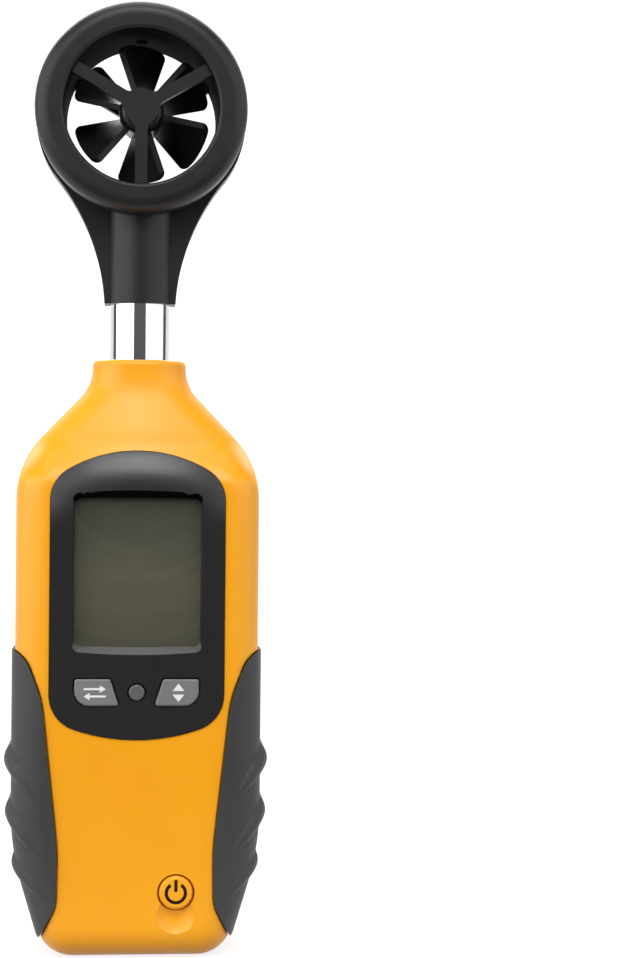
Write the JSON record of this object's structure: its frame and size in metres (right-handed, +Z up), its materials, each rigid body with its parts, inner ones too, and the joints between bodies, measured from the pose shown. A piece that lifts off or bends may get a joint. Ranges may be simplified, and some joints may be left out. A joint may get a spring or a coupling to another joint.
{
  "type": "handheld_weather_meter",
  "caption": "Handheld vane anemometer: a bladed wheel in a black ring on a short metal stem, over an orange case with display, keys and rubber grips",
  "frame": {"origin": "middle of the flat foot, on the plane it stands on", "axes": "+Z up along the stem, -Y out of the display, +X to the right seen from the display"},
  "size_m": [0.058, 0.0352, 0.2108],
  "materials": {
    "orange_plastic": "satin",
    "grip_rubber": "matte",
    "bezel_plastic": "semi-gloss",
    "lens": "clear",
    "lcd_glass": "satin",
    "contact_rubber": "matte",
    "board": "satin",
    "silicone": "matte",
    "key_plastic": "satin",
    "switch_plastic": "satin",
    "battery_case": "gloss",
    "black_plastic": "satin",
    "wire": "matte",
    "brass": "machined",
    "red_seal": "gloss",
    "steel": "satin",
    "dark_steel": "dark",
    "chrome": "polished",
    "magnet": "satin",
    "foil": "satin"
  },
  "bodies": {
    "meter": {"front_case": "orange_plastic", "rear_case": "orange_plastic", "right_grip": "grip_rubber", "left_grip": "grip_rubber", "display_bezel": "bezel_plastic", "display_window": "lens", "lcd_module": "lcd_glass", "lcd_connectors": "contact_rubber", "main_board": "board", "keypad_mat": "silicone", "power_switch": "switch_plastic", "battery": "battery_case", "battery_snap": "black_plastic", "battery_leads": "wire", "tripod_insert": "brass", "sealed_screw": "red_seal", "case_screws": "steel", "stem_tube": "chrome", "stem_clip": "steel", "sensor_cable": "wire", "sensor_plug": "black_plastic", "head_front_shell": "black_plastic", "head_rear_shell": "black_plastic", "head_screws": "dark_steel", "hall_sensor": "switch_plastic", "sensor_ribbon": "wire", "front_bearing": "brass", "rear_bearing": "brass", "serial_plate": "foil", "inspection_seal": "foil"},
    "impeller_body": {"impeller": "black_plastic", "impeller_shaft": "steel", "impeller_magnet": "magnet"},
    "units_button": {"units_key": "key_plastic"},
    "max_min_button": {"max_min_key": "key_plastic"},
    "light_button": {"light_key": "key_plastic"},
    "power_button": {"power_key": "orange_plastic"},
    "door_body": {"battery_door": "orange_plastic", "door_label": "foil"}
  },
  "joints": [
    {"name": "impeller_spin", "type": "hinge", "parent": "meter", "child": "impeller_body", "pos_m": [0, 0, 0.1873], "axis": [0, 1, 0], "continuous": true},
    {"name": "units_press", "type": "slide", "parent": "meter", "child": "units_button", "axis": [0, 1, 0], "range_m": [0, 0.0008], "stiffness_N_per_m": 900, "springref_m": -0.0004},
    {"name": "max_min_press", "type": "slide", "parent": "meter", "child": "max_min_button", "axis": [0, 1, 0], "range_m": [0, 0.0008], "stiffness_N_per_m": 900, "springref_m": -0.0004},
    {"name": "light_press", "type": "slide", "parent": "meter", "child": "light_button", "axis": [0, 1, 0], "range_m": [0, 0.0008], "stiffness_N_per_m": 900, "springref_m": -0.0004},
    {"name": "power_press", "type": "slide", "parent": "meter", "child": "power_button", "axis": [0, 1, 0], "range_m": [0, 0.0008], "stiffness_N_per_m": 900, "springref_m": -0.0004},
    {"name": "door_slide", "type": "slide", "parent": "meter", "child": "door_body", "axis": [0, 0, -1], "range_m": [0, 0.06]}
  ]
}
